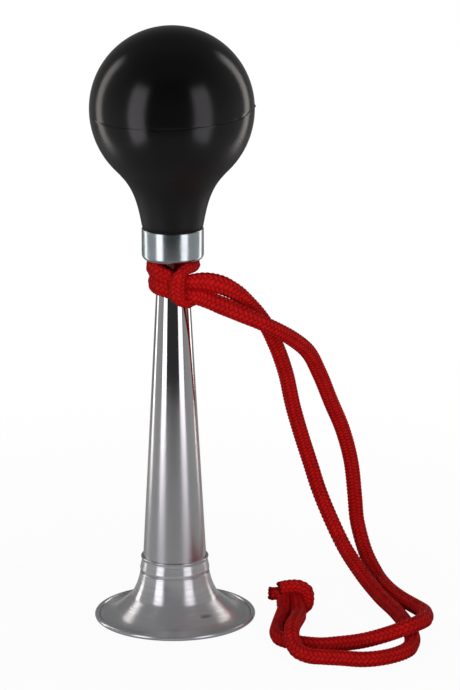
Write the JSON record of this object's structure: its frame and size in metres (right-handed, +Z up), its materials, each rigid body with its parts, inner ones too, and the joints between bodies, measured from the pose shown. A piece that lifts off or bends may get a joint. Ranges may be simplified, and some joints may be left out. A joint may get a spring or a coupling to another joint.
{
  "type": "bulb horn",
  "caption": "Hand-held bulb horn: a rubber squeeze bulb in a plated ferrule on a chromed tapered tube, a spun flared bell and a knotted braided wrist lanyard.",
  "frame": {"origin": "centre of the bell's mouth, on the surface that the horn stands on", "axes": "+Z up along the horn's axis from the bell to the bulb, -Y towards the viewer of the picture, +X to the side that the lanyard hangs on"},
  "size_m": [0.1203, 0.1122, 0.2143],
  "materials": {
    "bulb_rubber": "satin moulded rubber",
    "zinc_plate": "bright zinc plate",
    "bright_chrome": "mirror chrome plate",
    "spun_metal": "spun and plated, fine turning lines",
    "reed_brass": "bright brass",
    "seal_rubber": "matt rubber",
    "lanyard_braid": "tight red braid"
  },
  "bodies": {
    "horn": {"ferrule": "zinc_plate", "horn_cone": "bright_chrome", "horn_bell": "spun_metal", "reed_bung": "reed_brass", "reed_seal": "seal_rubber", "reed_tube": "reed_brass", "reed_clamp": "reed_brass", "reed_screw": "zinc_plate", "lanyard_hitch": "lanyard_braid", "lanyard_upper_strand": "lanyard_braid", "lanyard_lower_strand": "lanyard_braid", "lanyard_knot": "lanyard_braid"},
    "bulb": {"bulb": "bulb_rubber"},
    "reed_tongue": {"reed_tongue": "reed_brass"}
  },
  "joints": [
    {"name": "bulb_squeeze", "type": "slide", "parent": "horn", "child": "bulb", "axis": [0, 0, -1], "range_m": [0, 0.016], "stiffness_N_per_m": 900, "springref_m": -0.002, "deforming": ["bulb"]},
    {"name": "reed_beat", "type": "hinge", "parent": "horn", "child": "reed_tongue", "pos_m": [0, -0.00103, 0.141], "axis": [-1, 0, 0], "range_deg": [0, 2.5], "stiffness_Nm_per_rad": 0.02}
  ]
}
